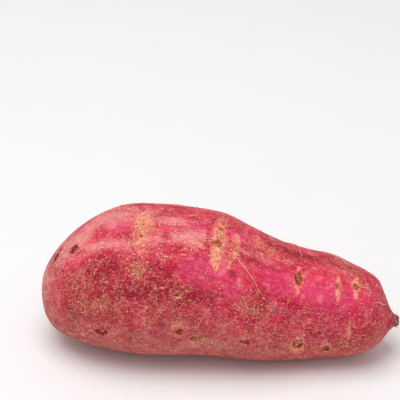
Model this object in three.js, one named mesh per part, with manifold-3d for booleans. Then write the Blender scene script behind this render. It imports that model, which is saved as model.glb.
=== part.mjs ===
/**
 * Sweet potato: one whole storage root, lying on its side.
 *
 * Millimetres, +Z up. The root lies along X, its blunt stem end at -X and its thin tail at +X,
 * and its best side faces -Y. It rests on a small flat spot at z = 0. The root grew in one piece,
 * so it is one closed solid: a skin lofted through hand-measured stations, with low lobes and
 * furrows, corky scars that stand a little proud, and eyes sunk into it.
 *
 * A place on the skin is given by its x and its turn: the angle round the root in degrees, 0 on the
 * side that faces -Y, 90 on top and -90 underneath.
 */
import * as THREE from "three";
import { mergeVertices } from "three/addons/utils/BufferGeometryUtils.js";
import Module from "manifold-3d";

// Each station: x, sideways place and height of the root's axis there, and half its width
const STATIONS = [
  [-90.0, 0.0, 27.6, 0.0],
  [-89.1, 0.0, 27.3, 7.7],
  [-86.5, 0.0, 26.8, 15.0],
  [-81.3, 0.0, 27.8, 21.9],
  [-73.0, 0.3, 30.4, 28.2],
  [-61.0, 0.6, 33.3, 34.2],
  [-47.0, 1.0, 34.9, 37.6],
  [-32.0, 1.2, 35.0, 38.2],
  [-16.0, 2.0, 34.5, 37.6],
  [0.0, 1.8, 33.7, 36.5],
  [15.0, -0.2, 31.0, 33.6],
  [29.0, -0.4, 27.8, 30.4],
  [42.0, 0.6, 25.9, 28.1],
  [54.0, 1.4, 25.2, 26.5],
  [64.5, 0.8, 24.1, 23.7],
  [72.5, 0.0, 23.8, 21.0],
  [78.5, 0.0, 23.3, 17.4],
  [82.6, 0.0, 21.4, 11.6],
  [85.4, 0.0, 20.0, 6.3],
  [87.4, 0.0, 19.5, 3.7],
  [89.0, 0.0, 19.3, 2.8],
  [90.0, 0.0, 19.2, 2.1],
  [90.4, 0.0, 19.2, 0.0],
];
const BLUNT_END = STATIONS[0][0];
const LENGTH = STATIONS.at(-1)[0] - BLUNT_END;
const FLATNESS = 0.955; // the root's height over its width
const ROWS_PER_STATION = 3;
const FACETS_AROUND = 54;

// Lobes, as shares of the radius
const RIDGE_TURN = { blunt: 50, tail: 34 }; // the ridge between the top and the front face
const FOUR_LOBES = 0.022;
const THREE_LOBES = 0.01;
const WAVES = 0.006;

// Soft furrows: where each starts and ends along x, its turn at both ends, its depth and half breadth
const FURROWS = [
  { from: 6, to: 44, turns: [70, 61], depth: 0.9, breadth: 3.4 },
  { from: -74, to: -22, turns: [18, 12], depth: 0.6, breadth: 4.2 },
  { from: 34, to: 78, turns: [16, 24], depth: 0.6, breadth: 3.4 },
  { from: -62, to: -4, turns: [148, 158], depth: 1.0, breadth: 4.4 },
  { from: 14, to: 70, turns: [176, 166], depth: 0.9, breadth: 3.8 },
  { from: -30, to: 38, turns: [-50, -44], depth: 0.7, breadth: 4.0 },
  { from: -56, to: 12, turns: [-136, -128], depth: 0.8, breadth: 4.2 },
];

// Corky scars: place, half length along the root, half breadth round it, and how proud they stand
const SCARS = [
  { x: 0.0, turn: 75, along: 3.0, around: 17.5, proud: 0.55 },
  { x: -37.0, turn: 76, along: 3.2, around: 11.5, proud: 0.4 },
  { x: 8.0, turn: 78, along: 2.0, around: 7.0, proud: 0.4 },
  { x: 40.0, turn: 62, along: 1.9, around: 7.2, proud: 0.45 },
  { x: 59.5, turn: 59, along: 1.6, around: 6.6, proud: 0.4 },
  { x: 68.3, turn: 69, along: 2.0, around: 6.2, proud: 0.45 },
  { x: 66.0, turn: 4, along: 1.2, around: 4.8, proud: 0.35 },
  { x: -24.0, turn: 136, along: 2.6, around: 12.0, proud: 0.45 },
  { x: 35.0, turn: 133, along: 1.8, around: 8.0, proud: 0.4 },
  { x: -5.0, turn: 207, along: 2.4, around: 9.5, proud: 0.45 },
  { x: 52.0, turn: 203, along: 1.7, around: 7.0, proud: 0.4 },
];

// Eyes, where side roots grew, in five rows a fifth of a turn apart: x, turn, length, breadth, depth
const EYES = [
  [-81.1, 78, 2.8, 3.8, 1.1],
  [-79.3, 87, 1.9, 2.2, 0.7],
  [-71.0, 70, 3.4, 4.6, 1.3],
  [-37.2, 70, 2.6, 3.0, 0.6],
  [-8.0, 69, 2.0, 2.2, 0.5],
  [0.7, 86, 2.6, 2.8, 0.7],
  [0.6, 69, 3.8, 4.0, 1.0],
  [8.0, 74, 2.6, 3.8, 0.7],
  [40.0, 61, 3.4, 5.8, 1.0],
  [59.5, 61, 2.6, 3.6, 0.8],
  [68.2, 68, 3.2, 4.4, 0.9],
  [-54.6, -15, 4.6, 3.0, 1.2],
  [-16.3, -8, 3.8, 3.4, 0.8],
  [-8.6, -15, 3.8, 2.6, 0.8],
  [15.8, -12, 3.4, 2.4, 0.7],
  [41.5, -11, 3.6, 3.6, 0.8],
  [55.1, -21, 3.0, 3.2, 0.7],
  [-68.0, -84, 3.2, 3.6, 1.0],
  [-57.0, -66, 3.0, 2.8, 0.8],
  [-27.0, -64, 3.4, 3.2, 0.9],
  [28.0, -66, 3.0, 3.6, 0.8],
  [63.0, -80, 3.0, 3.4, 0.9],
  [-76.0, 138, 3.0, 3.6, 1.1],
  [-52.0, 131, 3.4, 4.2, 1.2],
  [-24.0, 136, 3.2, 4.4, 1.0],
  [9.0, 139, 3.0, 3.4, 0.9],
  [35.0, 133, 2.8, 4.2, 0.9],
  [57.0, 137, 2.8, 3.2, 0.9],
  [-66.0, 208, 3.4, 3.8, 1.1],
  [-36.0, 202, 3.2, 4.0, 1.0],
  [-5.0, 207, 3.0, 4.2, 1.0],
  [26.0, 209, 3.2, 3.4, 0.9],
  [52.0, 203, 2.8, 3.8, 0.9],
  [70.0, 206, 2.4, 2.8, 0.8],
];

// The dished scar where the stem broke away, on the blunt end
const STEM_SCAR = { radius: 4.2, depth: 1.3 };

const PATCH_ROOT = 1.2; // how far a scar's underside goes into the root
const PATCH_FACETS = { around: 10, rings: 4 };
const EYE_LID = 0.6; // how far the pit's upper half stands clear of the skin

const SKIN_COLOUR = 0xc94d68;

const radians = THREE.MathUtils.degToRad;

/** The axis and the girth as curves whose end points are mirrored over the poles, so the ends are round. */
function makeCurves() {
  const mirrored = ([x, side, height, halfWidth]) => [x, side, height, -halfWidth];
  const rows = [mirrored(STATIONS[1]), ...STATIONS, mirrored(STATIONS.at(-2))];
  const through = (points) => new THREE.CatmullRomCurve3(points, false, "catmullrom", 0.5);
  return {
    axis: through(rows.map(([x, side, height]) => new THREE.Vector3(x, side, height))),
    girth: through(rows.map(([, , , halfWidth]) => new THREE.Vector3(halfWidth, 0, 0))),
  };
}

const CURVES = makeCurves();
const SPANS = STATIONS.length - 1;

/** Axis point and half width at t, which counts the stations from 0 to SPANS. */
function sectionAt(t) {
  const u = (t + 1) / (SPANS + 2);
  return { axis: CURVES.axis.getPoint(u), halfWidth: CURVES.girth.getPoint(u).x };
}

/** The t of the section at x, by halving. */
function stationAtX(x) {
  let low = 0;
  let high = SPANS;
  for (let step = 0; step < 40; step += 1) {
    const middle = (low + high) / 2;
    if (sectionAt(middle).axis.x < x) {
      low = middle;
    } else {
      high = middle;
    }
  }
  return (low + high) / 2;
}

/** Lobes and waves of the skin, as a share of the radius. */
function swell(x, turn) {
  const share = THREE.MathUtils.clamp((x - BLUNT_END) / LENGTH, 0, 1);
  const ridge = THREE.MathUtils.lerp(RIDGE_TURN.blunt, RIDGE_TURN.tail, share);
  const angle = radians(turn);
  const body = Math.sin(Math.PI * share);
  return (
    1 +
    FOUR_LOBES * Math.cos(4 * (angle - radians(ridge))) +
    THREE_LOBES * Math.cos(3 * angle + 1 + 1.5 * share) * body +
    WAVES * Math.sin(6.5 * Math.PI * share + 0.6) * Math.cos(2 * angle + 0.8)
  );
}

/** Depth of the furrows at a place: each fades out at both ends and to both sides. */
function furrowDepth(x, turn, radius) {
  let depth = 0;
  for (const furrow of FURROWS) {
    const share = (x - furrow.from) / (furrow.to - furrow.from);
    if (share > 0 && share < 1) {
      const middle = THREE.MathUtils.lerp(furrow.turns[0], furrow.turns[1], share);
      const off = THREE.MathUtils.euclideanModulo(turn - middle + 180, 360) - 180;
      const away = (radians(off) * radius) / furrow.breadth;
      depth += furrow.depth * Math.sin(Math.PI * share) ** 2 * Math.exp(-away * away);
    }
  }
  return depth;
}

/** The point of the skin at station t and turn. */
function skinPoint(t, turn) {
  const { axis, halfWidth } = sectionAt(t);
  const radius = halfWidth * swell(axis.x, turn) - furrowDepth(axis.x, turn, halfWidth);
  const angle = radians(turn);
  const side = axis.y - radius * Math.cos(angle);
  const height = axis.z + radius * FLATNESS * Math.sin(angle);
  return new THREE.Vector3(axis.x, side, height);
}

/** The skin's outward normal, from two small steps along it. */
function skinNormal(t, turn) {
  const step = 0.02;
  const here = skinPoint(t, turn);
  const lengthwise = skinPoint(t + step, turn).sub(here);
  const round = skinPoint(t, turn + step * 40).sub(here);
  return lengthwise.cross(round).normalize();
}

/** A sphere's geometry with each vertex placed anew by place(u, v, unit vertex). */
function reshapedSphere(around, rings, place) {
  const geometry = new THREE.SphereGeometry(1, around, rings);
  const { position, uv } = geometry.attributes;
  const unit = new THREE.Vector3();
  for (let i = 0; i < position.count; i += 1) {
    unit.fromBufferAttribute(position, i);
    const point = place(uv.getX(i), uv.getY(i), unit);
    position.setXYZ(i, point.x, point.y, point.z);
  }
  geometry.deleteAttribute("normal");
  geometry.deleteAttribute("uv");
  return mergeVertices(geometry, 1e-4);
}

/** The whole skin, flat where it presses on the surface it lies on. */
function makeSkin() {
  return reshapedSphere(FACETS_AROUND, SPANS * ROWS_PER_STATION, (u, v) => {
    const point = skinPoint((1 - v) * SPANS, 360 * u);
    point.z = Math.max(point.z, 0);
    return point;
  });
}

/** A lens that follows the skin: half sizes along and around it, and how far it reaches out and in. */
function makePatch({ x, turn, along, around, out, inward }) {
  const { halfWidth } = sectionAt(stationAtX(x));
  const turnPerMm = 180 / Math.PI / halfWidth;
  return reshapedSphere(PATCH_FACETS.around, PATCH_FACETS.rings, (u, v, unit) => {
    const placeTurn = turn + around * turnPerMm * unit.x;
    const t = stationAtX(x + along * unit.z);
    const reach = unit.y > 0 ? out * unit.y : inward * unit.y;
    return skinPoint(t, placeTurn).addScaledVector(skinNormal(t, placeTurn), reach);
  });
}

/** The ellipsoid that dishes the blunt end. */
function makeStemScar() {
  const geometry = new THREE.SphereGeometry(1, 16, 8);
  geometry.scale(STEM_SCAR.depth, STEM_SCAR.radius, STEM_SCAR.radius);
  geometry.translate(STATIONS[0][0], STATIONS[0][1], STATIONS[0][2]);
  geometry.deleteAttribute("normal");
  geometry.deleteAttribute("uv");
  return mergeVertices(geometry, 1e-4);
}

const wasm = await Module();
wasm.setup();

/** A closed geometry as a solid. */
function solidOf(geometry) {
  const vertProperties = new Float32Array(geometry.attributes.position.array);
  const triVerts = new Uint32Array(geometry.index.array);
  return new wasm.Manifold(new wasm.Mesh({ numProp: 3, vertProperties, triVerts }));
}

/** A solid's surface as a geometry. */
function geometryOf(solid) {
  const mesh = solid.getMesh();
  const geometry = new THREE.BufferGeometry();
  geometry.setAttribute("position", new THREE.BufferAttribute(mesh.vertProperties, mesh.numProp));
  geometry.setIndex(new THREE.BufferAttribute(mesh.triVerts, 1));
  geometry.computeVertexNormals();
  return geometry;
}

/** The root: its skin, with the scars joined on and the eyes cut in. */
function makeRoot() {
  let root = solidOf(makeSkin());
  for (const { x, turn, along, around, proud } of SCARS) {
    root = root.add(solidOf(makePatch({ x, turn, along, around, out: proud, inward: PATCH_ROOT })));
  }
  for (const [x, turn, length, breadth, depth] of EYES) {
    const pit = { x, turn, along: length / 2, around: breadth / 2, out: EYE_LID, inward: depth };
    root = root.subtract(solidOf(makePatch(pit)));
  }
  return geometryOf(root.subtract(solidOf(makeStemScar())));
}

/** The mesh, set with the bottom centre of its bounding box on the origin. */
function makeSweetPotato() {
  const geometry = makeRoot();
  const material = new THREE.MeshStandardMaterial({ color: SKIN_COLOUR, roughness: 0.55, metalness: 0 });
  const mesh = new THREE.Mesh(geometry, material);
  mesh.name = "sweet_potato";
  geometry.computeBoundingBox();
  const middle = geometry.boundingBox.getCenter(new THREE.Vector3());
  mesh.position.set(-middle.x, -middle.y, -geometry.boundingBox.min.z);
  return mesh;
}

const sweetPotato = new THREE.Group();
sweetPotato.name = "sweet potato";
sweetPotato.add(makeSweetPotato());

export default sweetPotato;
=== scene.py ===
"""Sweet potato: the looks of one whole root that lies on its side.

The skin is one fine surface, worked out with numpy from the same stations, lobes and furrows as the solid
that it stands for, with eyes sunk into it and corky scars, cracks and wrinkles raised from it. Scabs,
crumbs, flakes, rootlets and torn fibres are pieces of their own that sit on that surface.
A place on the root is its x in millimetres and its turn in degrees: 0 faces the viewer, 90 is on top.
"""
import itertools
import math

import bpy
import numpy as np
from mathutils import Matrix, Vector


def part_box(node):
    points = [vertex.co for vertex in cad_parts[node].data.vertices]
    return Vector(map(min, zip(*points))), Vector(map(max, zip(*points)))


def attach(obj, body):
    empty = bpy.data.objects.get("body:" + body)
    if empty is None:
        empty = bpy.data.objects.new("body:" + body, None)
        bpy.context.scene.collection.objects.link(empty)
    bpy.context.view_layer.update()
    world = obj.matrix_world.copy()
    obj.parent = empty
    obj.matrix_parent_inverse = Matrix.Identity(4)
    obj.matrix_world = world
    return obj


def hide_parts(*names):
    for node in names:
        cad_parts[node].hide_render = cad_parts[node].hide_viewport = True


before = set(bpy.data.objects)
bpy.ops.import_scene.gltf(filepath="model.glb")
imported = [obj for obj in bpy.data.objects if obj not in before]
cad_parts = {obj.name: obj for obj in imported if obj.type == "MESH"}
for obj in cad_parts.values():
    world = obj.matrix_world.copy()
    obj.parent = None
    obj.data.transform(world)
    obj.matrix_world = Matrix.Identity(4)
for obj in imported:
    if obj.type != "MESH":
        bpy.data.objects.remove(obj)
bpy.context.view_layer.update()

MM = 0.001
NODE = "sweet_potato"
BODY = "root"

# The root's form, in millimetres and degrees
# Each station: x, sideways place and height of the root's axis there, and half its width
STATIONS = np.array([
    (-90.0, 0.0, 27.6, 0.0),
    (-89.1, 0.0, 27.3, 7.7),
    (-86.5, 0.0, 26.8, 15.0),
    (-81.3, 0.0, 27.8, 21.9),
    (-73.0, 0.3, 30.4, 28.2),
    (-61.0, 0.6, 33.3, 34.2),
    (-47.0, 1.0, 34.9, 37.6),
    (-32.0, 1.2, 35.0, 38.2),
    (-16.0, 2.0, 34.5, 37.6),
    (0.0, 1.8, 33.7, 36.5),
    (15.0, -0.2, 31.0, 33.6),
    (29.0, -0.4, 27.8, 30.4),
    (42.0, 0.6, 25.9, 28.1),
    (54.0, 1.4, 25.2, 26.5),
    (64.5, 0.8, 24.1, 23.7),
    (72.5, 0.0, 23.8, 21.0),
    (78.5, 0.0, 23.3, 17.4),
    (82.6, 0.0, 21.4, 11.6),
    (85.4, 0.0, 20.0, 6.3),
    (87.4, 0.0, 19.5, 3.7),
    (89.0, 0.0, 19.3, 2.8),
    (90.0, 0.0, 19.2, 2.1),
    (90.4, 0.0, 19.2, 0.0),
])
SPANS = len(STATIONS) - 1
END_GAP = 0.004
BLUNT_END = STATIONS[0, 0]
LENGTH = STATIONS[-1, 0] - BLUNT_END
FLATNESS = 0.955
GIRTH_RADIUS = 36.0

RIDGE_TURNS = (50.0, 34.0)
FOUR_LOBES = 0.022
THREE_LOBES = 0.01
WAVES = 0.006

# Soft furrows: start and end along x, turn at both ends, depth and half breadth
FURROWS = [
    (6, 44, 70, 61, 0.9, 3.4),
    (-74, -22, 18, 12, 0.6, 4.2),
    (34, 78, 16, 24, 0.6, 3.4),
    (-62, -4, 148, 158, 1.0, 4.4),
    (14, 70, 176, 166, 0.9, 3.8),
    (-30, 38, -50, -44, 0.7, 4.0),
    (-56, 12, -136, -128, 0.8, 4.2),
]

# Corky scars, spindles that run round the root: x, turn, half length along it, half breadth round it, how
# proud, and how much cork covers them, from 0 to 1
SCARS = [
    (0.0, 75, 3.4, 18.5, 0.5, 1.0),
    (-37.2, 79, 5.0, 13.5, 0.25, 0.85),
    (-36.4, 60, 3.0, 5.5, 0.1, 0.6),
    (-35.8, 46, 3.0, 7.5, 0.15, 0.35),
    (8.6, 75, 2.5, 9.0, 0.35, 0.8),
    (6.6, 57, 1.5, 5.0, 0.12, 0.5),
    (-8.2, 70, 1.8, 4.5, 0.15, 0.5),
    (40.0, 61, 2.1, 8.8, 0.4, 0.9),
    (59.5, 58, 1.5, 7.8, 0.35, 0.8),
    (68.3, 69, 2.0, 7.2, 0.4, 0.85),
    (73.6, 77, 1.6, 2.6, 0.15, 0.5),
    (66.0, 4, 1.2, 4.8, 0.3, 0.5),
    (18.5, 92, 4.4, 6.0, 0.1, 0.42),
    (25.5, 86, 4.4, 4.4, 0.08, 0.36),
    (41.5, -14, 3.6, 8.0, 0.2, 0.8),
    (-16.5, -6, 4.0, 5.6, 0.12, 0.5),
    (-8.8, -18, 3.4, 4.6, 0.2, 0.5),
    (16.0, -8, 3.4, 5.6, 0.12, 0.5),
    (55.0, -17, 2.6, 5.6, 0.2, 0.6),
    (-24.0, 136, 2.8, 12.5, 0.4, 0.9),
    (35.0, 133, 2.0, 8.6, 0.35, 0.8),
    (-5.0, 207, 2.6, 10.0, 0.4, 0.9),
    (52.0, 203, 1.8, 7.4, 0.35, 0.8),
    (-52.0, 131, 2.0, 6.0, 0.2, 0.6),
    (63.0, -80, 1.8, 5.4, 0.2, 0.6),
    (26.0, 209, 1.8, 5.8, 0.2, 0.5),
]

# Eyes, where side roots grew: x, turn, length, breadth, depth, and how dark, from 0 to 1
EYES = [
    (-81.1, 78, 3.8, 5.0, 1.1, 0.9),
    (-79.3, 87, 3.0, 3.0, 0.8, 0.9),
    (-71.0, 70, 4.2, 5.4, 1.3, 0.9),
    (-37.2, 70, 2.6, 3.0, 0.6, 0.3),
    (-8.0, 69, 2.0, 2.2, 0.5, 0.5),
    (0.7, 86, 2.6, 2.8, 0.7, 0.6),
    (0.6, 69, 3.8, 4.0, 1.0, 0.5),
    (8.0, 74, 2.6, 3.8, 0.7, 0.4),
    (40.0, 61.5, 4.0, 7.8, 1.0, 0.7),
    (59.5, 61, 2.6, 3.6, 0.8, 0.5),
    (68.2, 68, 3.2, 4.4, 0.9, 0.6),
    (-54.6, -15, 5.6, 3.8, 1.2, 0.9),
    (-16.3, -8, 4.6, 4.6, 0.8, 0.6),
    (-8.6, -15, 4.8, 3.4, 0.8, 0.8),
    (15.8, -12, 4.6, 3.4, 0.7, 0.8),
    (41.5, -11, 4.8, 5.2, 0.8, 0.8),
    (55.1, -21, 3.8, 4.2, 0.7, 0.8),
    (-68.0, -84, 3.2, 3.6, 1.0, 0.8),
    (-57.0, -66, 3.0, 2.8, 0.8, 0.7),
    (-27.0, -64, 3.4, 3.2, 0.9, 0.7),
    (28.0, -66, 3.0, 3.6, 0.8, 0.6),
    (63.0, -80, 3.0, 3.4, 0.9, 0.8),
    (-76.0, 138, 3.0, 3.6, 1.1, 0.9),
    (-52.0, 131, 3.4, 4.2, 1.2, 0.8),
    (-24.0, 136, 3.2, 4.4, 1.0, 0.7),
    (9.0, 139, 3.0, 3.4, 0.9, 0.6),
    (35.0, 133, 2.8, 4.2, 0.9, 0.7),
    (57.0, 137, 2.8, 3.2, 0.9, 0.6),
    (-66.0, 208, 3.4, 3.8, 1.1, 0.9),
    (-36.0, 202, 3.2, 4.0, 1.0, 0.8),
    (-5.0, 207, 3.0, 4.2, 1.0, 0.7),
    (26.0, 209, 3.2, 3.4, 0.9, 0.7),
    (52.0, 203, 2.8, 3.8, 0.9, 0.7),
    (70.0, 206, 2.4, 2.8, 0.8, 0.6),
]

# Small brown marks where the skin is only pricked: x, turn, length, breadth and how dark
MARKS = [
    (-37.4, 81, 1.6, 2.2, 0.6),
    (-35.8, 58, 1.5, 2.0, 0.5),
    (-2.6, 69, 1.6, 2.0, 0.6),
    (8.2, 48, 4.4, 3.4, 0.5),
    (-77.5, 65, 1.2, 1.4, 0.7),
    (-75.6, 49, 1.8, 1.4, 0.5),
    (-34.5, 30, 1.6, 1.4, 0.4),
    (50.0, -4, 1.5, 1.5, 0.3),
    (-30.0, 176, 2.0, 1.6, 0.6),
    (12.0, 186, 1.8, 1.8, 0.5),
    (46.0, 160, 1.6, 2.0, 0.6),
    (-60.0, 168, 1.6, 1.8, 0.5),
]
MARK_DEPTH = 0.25

# Swells and dimples all over the skin: height, breadth and seed of each kind
SWELLS = [(0.3, 17, 1), (0.1, 6, 2), (0.05, 2.2, 3)]

# How far from the middle the wrinkles of the tail and of the blunt end start, and where they are full
TAIL_WRINKLES = (58, 84)
BLUNT_WRINKLES = (70, 88)

# The round scar at the blunt end and the broken tail: how far from the pole each is full, and where it ends
STEM_SCAR = (2.6, 5.0)
STEM_SCAR_DEPTH = 1.3
BROKEN_TAIL = (2.4, 4.6)
TAIL_SPLIT_DEPTH = 0.9

# Tints of the skin, soft ovals: x, turn, half length along the root, half breadth round it, strength
# Pale tints: paler skin; those over the top of the blunt half are also a painted highlight
PALE_AND_HIGHLIGHT_TINTS = [
    (-72, 84, 18, 13, 0.9), (-52, 96, 22, 12, 0.8), (-52, 62, 20, 5, 0.8),
    (-86, 36, 8, 22, 0.6), (-22, 89, 11, 5, 0.7), (-14, 72, 13, 6, 0.9),
    (-30, 66, 10, 5, 0.6), (20, 74, 12, 4, 0.4), (58, 82, 14, 5, 0.3),
    (3, 60, 5, 9, 0.4),
]
MAGENTA_TINTS = [
    (-48, 79, 12, 6, 0.9), (-27, 88, 8, 6, 0.6), (-3, 46, 14, 9, 1.0),
    (10, 36, 10, 9, 0.8), (9, 86, 10, 10, 0.9), (-12, 83, 8, 8, 0.9),
    (56, 30, 14, 6, 0.7), (32, 54, 14, 9, 0.8), (54, 50, 22, 7, 1.0),
    (22, 8, 10, 5, 0.5), (24, -14, 10, 2, 0.9), (-30, -9, 9, 2, 0.7),
    (4, -4, 5, 3, 0.7), (50, -8, 8, 2.5, 0.7), (-40, 16, 10, 4, 0.6),
    (8, 4, 8, 5, 0.5), (78, 50, 8, 8, 0.4),
]
# Deep tints: crimson zones of the skin, but three of them are painted shade, noted below
DEEP_AND_SHADE_TINTS = [
    (-54, 42, 13, 9, 0.9), (-28, 40, 16, 7, 0.6), (-38, 24, 26, 8, 0.95),
    (-18, 44, 12, 6, 0.5), (-14, 26, 18, 9, 0.9), (-9, 37, 7, 5, 0.5),
    # (-16, 118): painted shade along the top edge
    (-16, 118, 22, 7, 0.4), (-46, -6, 18, 6, 0.4), (32, 6, 12, 5, 0.5),
    # (22, 67): painted shade in the furrow that runs there
    (22, 67, 15, 2.2, 0.7), (-66, 4, 14, 10, 0.8), (-20, 6, 16, 6, 0.4),
    # (42, 96): a painted shadow over the top towards the tail
    (36, 24, 14, 6, 0.4), (52, 2, 16, 7, 0.4), (42, 96, 20, 6, 0.8),
]
RUSSET_TINTS = [
    (-66, 30, 14, 11, 0.8), (-56, 12, 16, 8, 0.8), (-28, 12, 14, 6, 0.7),
    (-36, 42, 5, 8, 0.8), (-48, 4, 18, 6, 0.7), (-24, 0, 18, 5, 0.7),
    (-8, -16, 8, 4, 0.7), (-66, -16, 16, 8, 0.5), (20, 25, 11, 9, 0.7),
    (26, 98, 8, 4, 0.3), (40, -18, 10, 5, 0.8), (66, -18, 16, 7, 0.9),
    (-36, 88, 7, 9, 0.5), (4, 98, 10, 6, 0.5), (64, 96, 12, 5, 0.6),
    (64, 18, 6, 5, 0.5), (-14, 26, 8, 4, 0.4), (79, -8, 7, 9, 0.7),
]
# Smooth tints: smoother skin with fewer flecks; the two at (42, 96) and (-16, 118) are painted shade
SMOOTH_AND_SHADE_TINTS = [
    (52, 58, 26, 13, 1.0), (28, 56, 14, 9, 0.8), (8, 48, 10, 10, 0.6),
    (-10, 46, 12, 9, 0.5), (11, 88, 7, 6, 0.5), (-48, 80, 10, 6, 0.4),
    (-8, 36, 8, 6, 0.6), (42, 96, 16, 6, 0.8), (-16, 118, 22, 8, 0.8),
]

# Drawn tints for the side away from the viewer, so many of each kind
HIDDEN_TINTS = 14
HIDDEN_SEED = 41
HIDDEN_X = (-82, 78)
HIDDEN_TURNS = (134, 290)
HIDDEN_SIZES = (6, 15)

# Dust on the underside: how many degrees it reaches either way, over how many it fades, where along the
# root it thins out towards the tail, and how far from the middle it covers the blunt end
RESTING_TURN = -90.0
DUST_BREADTH = 58.0
DUST_FADE = 54.0
# The thinning towards the tail is painted light: it leaves the tail's underside brighter, as if lit
DUST_THINNING_FOR_LIGHT = (15, 50)
DUST_AT_BLUNT_END = (70, 86)

# Rootlets that lie on the skin: radius, then the x, turn and height over the skin of the points they pass
ROOTLETS = [
    (0.17, [(1.3, 66, 0), (4.5, 64, 0.5), (9.1, 63, 0.3), (13.0, 58, 0.5), (16.3, 53, 0.3), (18.6, 49, 0.5),
            (20.6, 43, 0.3), (23.4, 38, 0.1)]),
    (0.16, [(39.4, 106, 0), (39.2, 101, 0.6), (40.2, 95, 0.4), (39.8, 88, 0.1)]),
    (0.15, [(31.4, 79, 0), (33.0, 81, 0.5), (35.6, 80, 0.4), (37.4, 77, 0)]),
    (0.14, [(0.8, 86, 0), (2.6, 91, 0.8), (2.0, 97, 0.5), (4.0, 101, 0)]),
    (0.15, [(46.0, 118, 0), (51.0, 112, 0.4), (57.0, 110, 0.5), (63.0, 106, 0.3), (68.0, 101, 0)]),
    (0.14, [(-37.0, 79, 0), (-38.4, 84, 0.6), (-36.8, 90, 0.6), (-35.0, 93, 0)]),
    (0.14, [(68.6, 72, 0), (71.0, 70, 0.6), (74.0, 72, 0.5), (76.0, 68, 0)]),
    (0.16, [(78.0, 54, 0), (81.0, 60, 0.5), (82.6, 68, 0.4), (83.4, 82, 0)]),
    (0.14, [(41.5, -9, 0), (44.0, -5, 0.7), (43.4, 0, 0.6), (45.6, 3, 0)]),
    (0.18, [(-24.0, 138, 0), (-20.0, 143, 0.7), (-14.0, 146, 0.6), (-9.0, 152, 0.5), (-6.0, 160, 0.1)]),
    (0.15, [(35.0, 135, 0), (38.0, 141, 0.7), (43.0, 143, 0.5), (46.0, 149, 0)]),
    (0.17, [(-66.0, 210, 0), (-61.0, 206, 0.6), (-55.0, 208, 0.6), (-50.0, 203, 0.1)]),
    (0.15, [(-5.0, 209, 0), (-2.0, 203, 0.6), (3.0, 200, 0.4), (5.0, 194, 0)]),
]
ROOTLET_STEP = 0.6
ROOTLET_SIDES = 6

# Crumbs and flakes: the places that they lie near, how many lie near each, and how far they stray
CRUMBLY_SPOTS = [(20.0, 26.0), (-36.0, 44.0), (-8.0, -17.0), (42.0, -13.0)]
CRUMB_GROUPS = [(EYES, 9, 1.3), (SCARS, 8, 2.4), (CRUMBLY_SPOTS, 26, 3.4)]
CRUMBS_ALL_OVER = 260
FLAKY_SPOTS = [(20.0, 26.0), (-36.0, 46.0), (1.0, 76.0), (8.0, 68.0), (-37.0, 78.0)]
FLAKE_GROUPS = [(FLAKY_SPOTS, 12, 3.2), (SCARS, 4, 2.2)]
FLAKES_ALL_OVER = 120
FLAKE_HALF_THICKNESS = 0.07

# Torn fibres stand in the broken ends
TAIL_POLE = (87.6, 0.0, 19.3)
STEM_POLE = (-88.2, 0.0, 27.5)
FIBRE_POINTS = 9
FIBRE_SIDES = 5
FIBRE_UP = (0.0, 0.6, 0.8)

# No crumb, flake or scab grows where the skin is lower than this
FLOOR_GAP = 1.2

MESH_ROWS = 300
MESH_AROUND = 320
TAIL_CROWDING = 1.6

# Mixers of the lattice noise's random numbers
LATTICE_STEPS = np.array([73856093, 19349663, 83492791])
SEED_STEP = 668265263
MIXERS = ((15, 739982445), (13, 695872825))
WORD = 0xFFFFFFFF
NOISE_LEVELS = 0xFFFF


def soft_step(value, low, high):
    """0 below low, 1 above high, and a smooth rise between them."""
    share = np.clip((value - low) / (high - low), 0, 1)
    return share * share * (3 - 2 * share)


def lattice_noise(points, size, seed):
    """Smooth noise, -1 to 1: a random number at each corner of cubes of that size, blended inside them."""
    scaled = np.asarray(points, float) / size + seed * 3.7
    cell = np.floor(scaled).astype(np.int64)
    share = scaled - cell
    share = share * share * (3 - 2 * share)
    total = np.zeros(scaled.shape[:-1])
    for corner in itertools.product((0, 1), repeat=3):
        at = cell + np.array(corner)
        mixed = (np.bitwise_xor.reduce(at * LATTICE_STEPS, axis=-1) ^ (seed * SEED_STEP)) & WORD
        for shift, mixer in MIXERS:
            mixed = ((mixed ^ (mixed >> shift)) * mixer) & WORD
        value = 2 * ((mixed >> 8) & NOISE_LEVELS) / NOISE_LEVELS - 1
        weight = np.prod(np.where(corner, share, 1 - share), axis=-1)
        total += weight * value
    return total


def cloud(points, size, seed, octaves=3):
    """Lattice noise with finer and weaker copies of itself added, each half the size of the one before."""
    total = 0
    weight = 1.0
    whole = 0
    for octave in range(octaves):
        total = total + weight * lattice_noise(points, size / 2**octave, seed + octave * 11)
        whole += weight
        weight *= 0.5
    return total / whole


def curve_through(rows, t):
    """Catmull-Rom curve through rows of numbers, at t spans from the second row, up to the last but one."""
    span = np.clip(np.floor(t).astype(int), 0, len(rows) - 4)
    f = (t - span)[..., None]
    a, b, c, d = (rows[span + i] for i in range(4))
    bend = 2 * a - 5 * b + 4 * c - d
    return 0.5 * (2 * b + (c - a) * f + bend * f**2 + (3 * b - a - 3 * c + d) * f**3)


OVER_THE_POLE = (1, 1, 1, -1)
STATION_ROWS = np.vstack([STATIONS[1] * OVER_THE_POLE, STATIONS, STATIONS[-2] * OVER_THE_POLE])


def section(t):
    """The axis point and half width at t, counted in stations."""
    return curve_through(STATION_ROWS, t)


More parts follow.
